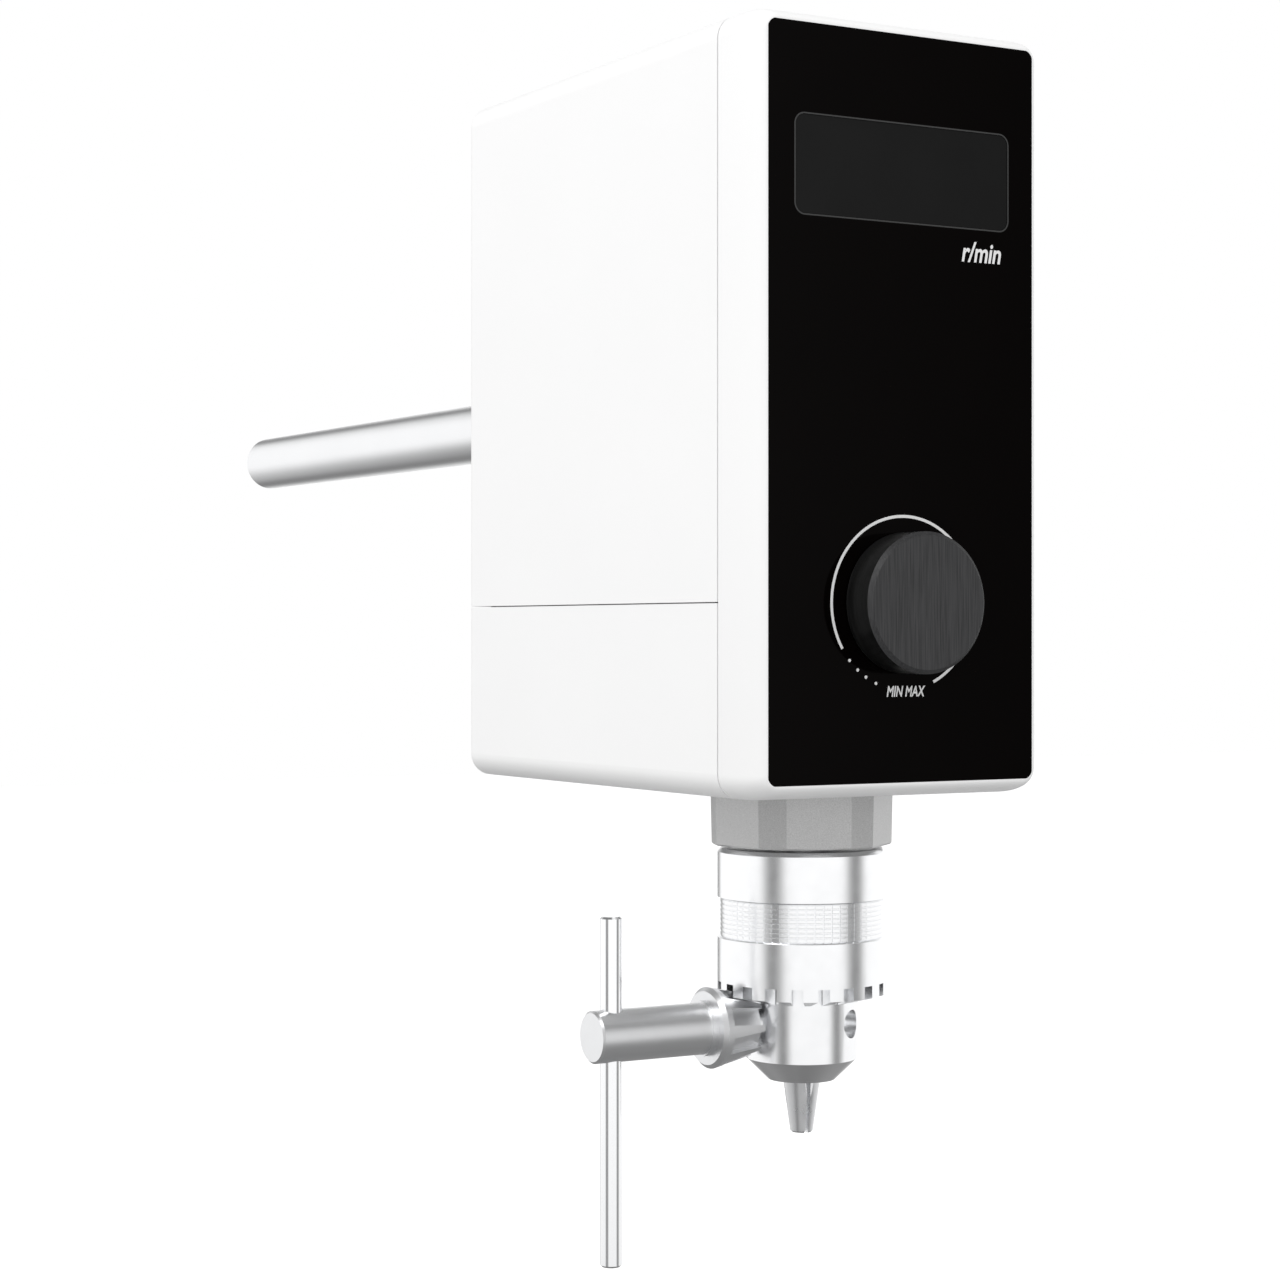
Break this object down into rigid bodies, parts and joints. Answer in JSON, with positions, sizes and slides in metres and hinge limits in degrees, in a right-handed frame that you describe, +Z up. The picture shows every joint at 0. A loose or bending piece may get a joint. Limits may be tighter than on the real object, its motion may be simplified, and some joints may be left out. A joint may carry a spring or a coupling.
{
  "type": "overhead stirrer",
  "caption": "Overhead laboratory stirrer: tall narrow housing on a rear rod, display and speed knob in front, keyed drill-type chuck with its key below.",
  "frame": {"origin": "on the support rod's axis, in the plane of the housing's rear face", "axes": "+X to the right seen from the front, +Y backward along the support rod, +Z up, away from the chuck"},
  "size_m": [0.102, 0.4102, 0.3002],
  "materials": {
    "white_plastic": "smooth satin white moulding",
    "collar_plastic": "fine grained white moulding",
    "panel_gloss": "glossy black sheet",
    "window_tint": "smoked gloss lens",
    "knob_black": "black anodised, straight brushed face",
    "rod_steel": "bright drawn bar",
    "chuck_steel": "ground and plated",
    "plain_steel": "plain turned",
    "cast_aluminium": "die cast",
    "core_iron": "laminated",
    "copper_wire": "enamelled copper wire",
    "circuit_board": "solder resist",
    "black_plastic": "moulded",
    "contact_brass": "plated contacts"
  },
  "bodies": {
    "housing": {"front_cover": "white_plastic", "front_panel": "panel_gloss", "display_window": "window_tint", "display_module": "black_plastic", "control_board": "circuit_board", "board_screws": "plain_steel", "speed_pot": "black_plastic", "pot_nut": "plain_steel", "upper_cover": "white_plastic", "lower_cover": "white_plastic", "chassis": "cast_aluminium", "support_rod": "rod_steel", "rod_grub_screws": "plain_steel", "spindle_collar": "collar_plastic", "collar_screws": "plain_steel", "lower_bearing_outer": "plain_steel", "upper_bearing_outer": "plain_steel", "motor_can": "cast_aluminium", "motor_end_bell": "cast_aluminium", "motor_bolts": "plain_steel", "stator_core": "core_iron", "winding_coils": "copper_wire", "power_board": "circuit_board", "power_board_screws": "plain_steel", "transformer": "black_plastic", "bulk_capacitor": "black_plastic", "power_inlet": "black_plastic", "inlet_blades": "contact_brass", "switch_frame": "black_plastic", "cover_screws": "plain_steel", "base_screws": "plain_steel"},
    "knob": {"pot_shaft": "plain_steel", "speed_knob": "knob_black"},
    "rocker": {"switch_rocker": "black_plastic"},
    "spindle": {"spindle": "plain_steel", "lower_bearing_inner": "plain_steel", "upper_bearing_inner": "plain_steel", "rotor_core": "core_iron", "rotor_magnets": "plain_steel", "chuck_body": "chuck_steel"},
    "sleeve": {"chuck_sleeve": "chuck_steel", "chuck_nut": "plain_steel"},
    "jaw_1": {"jaw_1": "chuck_steel"},
    "jaw_2": {"jaw_2": "chuck_steel"},
    "jaw_3": {"jaw_3": "chuck_steel"},
    "key_pilot": {"key_pilot": "chuck_steel"},
    "key": {"key_body": "chuck_steel"},
    "key_bar": {"key_bar": "chuck_steel"}
  },
  "joints": [
    {"name": "spindle_spin", "type": "hinge", "parent": "housing", "child": "spindle", "pos_m": [0, -0.1074, -0.116], "axis": [0, 0, 1], "continuous": true},
    {"name": "sleeve_turn", "type": "hinge", "parent": "spindle", "child": "sleeve", "pos_m": [0, -0.1074, -0.135], "axis": [0, 0, -1], "range_deg": [0, 2868]},
    {"name": "jaw_1_slide", "type": "slide", "parent": "spindle", "child": "jaw_1", "axis": [-0.1988, -0.0856, 0.9763], "range_m": [0, 0.0204]},
    {"name": "jaw_2_slide", "type": "slide", "parent": "spindle", "child": "jaw_2", "axis": [0.1735, -0.1293, 0.9763], "range_m": [0, 0.0204]},
    {"name": "jaw_3_slide", "type": "slide", "parent": "spindle", "child": "jaw_3", "axis": [0.0253, 0.215, 0.9763], "range_m": [0, 0.0204]},
    {"name": "key_pull", "type": "slide", "parent": "spindle", "child": "key_pilot", "axis": [-1, 0, 0], "range_m": [0, 0.04]},
    {"name": "key_turn", "type": "hinge", "parent": "key_pilot", "child": "key", "pos_m": [-0.04, -0.1074, -0.1596], "axis": [-1, 0, 0], "range_deg": [0, 7170]},
    {"name": "bar_slide", "type": "slide", "parent": "key", "child": "key_bar", "axis": [0, 0, 1], "range_m": [0, 0.0269]},
    {"name": "knob_turn", "type": "hinge", "parent": "housing", "child": "knob", "pos_m": [0, -0.157, -0.0547], "axis": [0, 1, 0], "range_deg": [0, 280]},
    {"name": "switch_rock", "type": "hinge", "parent": "housing", "child": "rocker", "pos_m": [0.0235, -0.0005, -0.076], "axis": [-1, 0, 0], "range_deg": [0, 18]}
  ],
  "couplings": [
    {"joint": "jaw_1_slide", "follows": "sleeve_turn", "m_per_rad": 0.00040755},
    {"joint": "jaw_2_slide", "follows": "sleeve_turn", "m_per_rad": 0.00040755},
    {"joint": "jaw_3_slide", "follows": "sleeve_turn", "m_per_rad": 0.00040755},
    {"joint": "key_turn", "follows": "sleeve_turn", "ratio": 2.5}
  ]
}
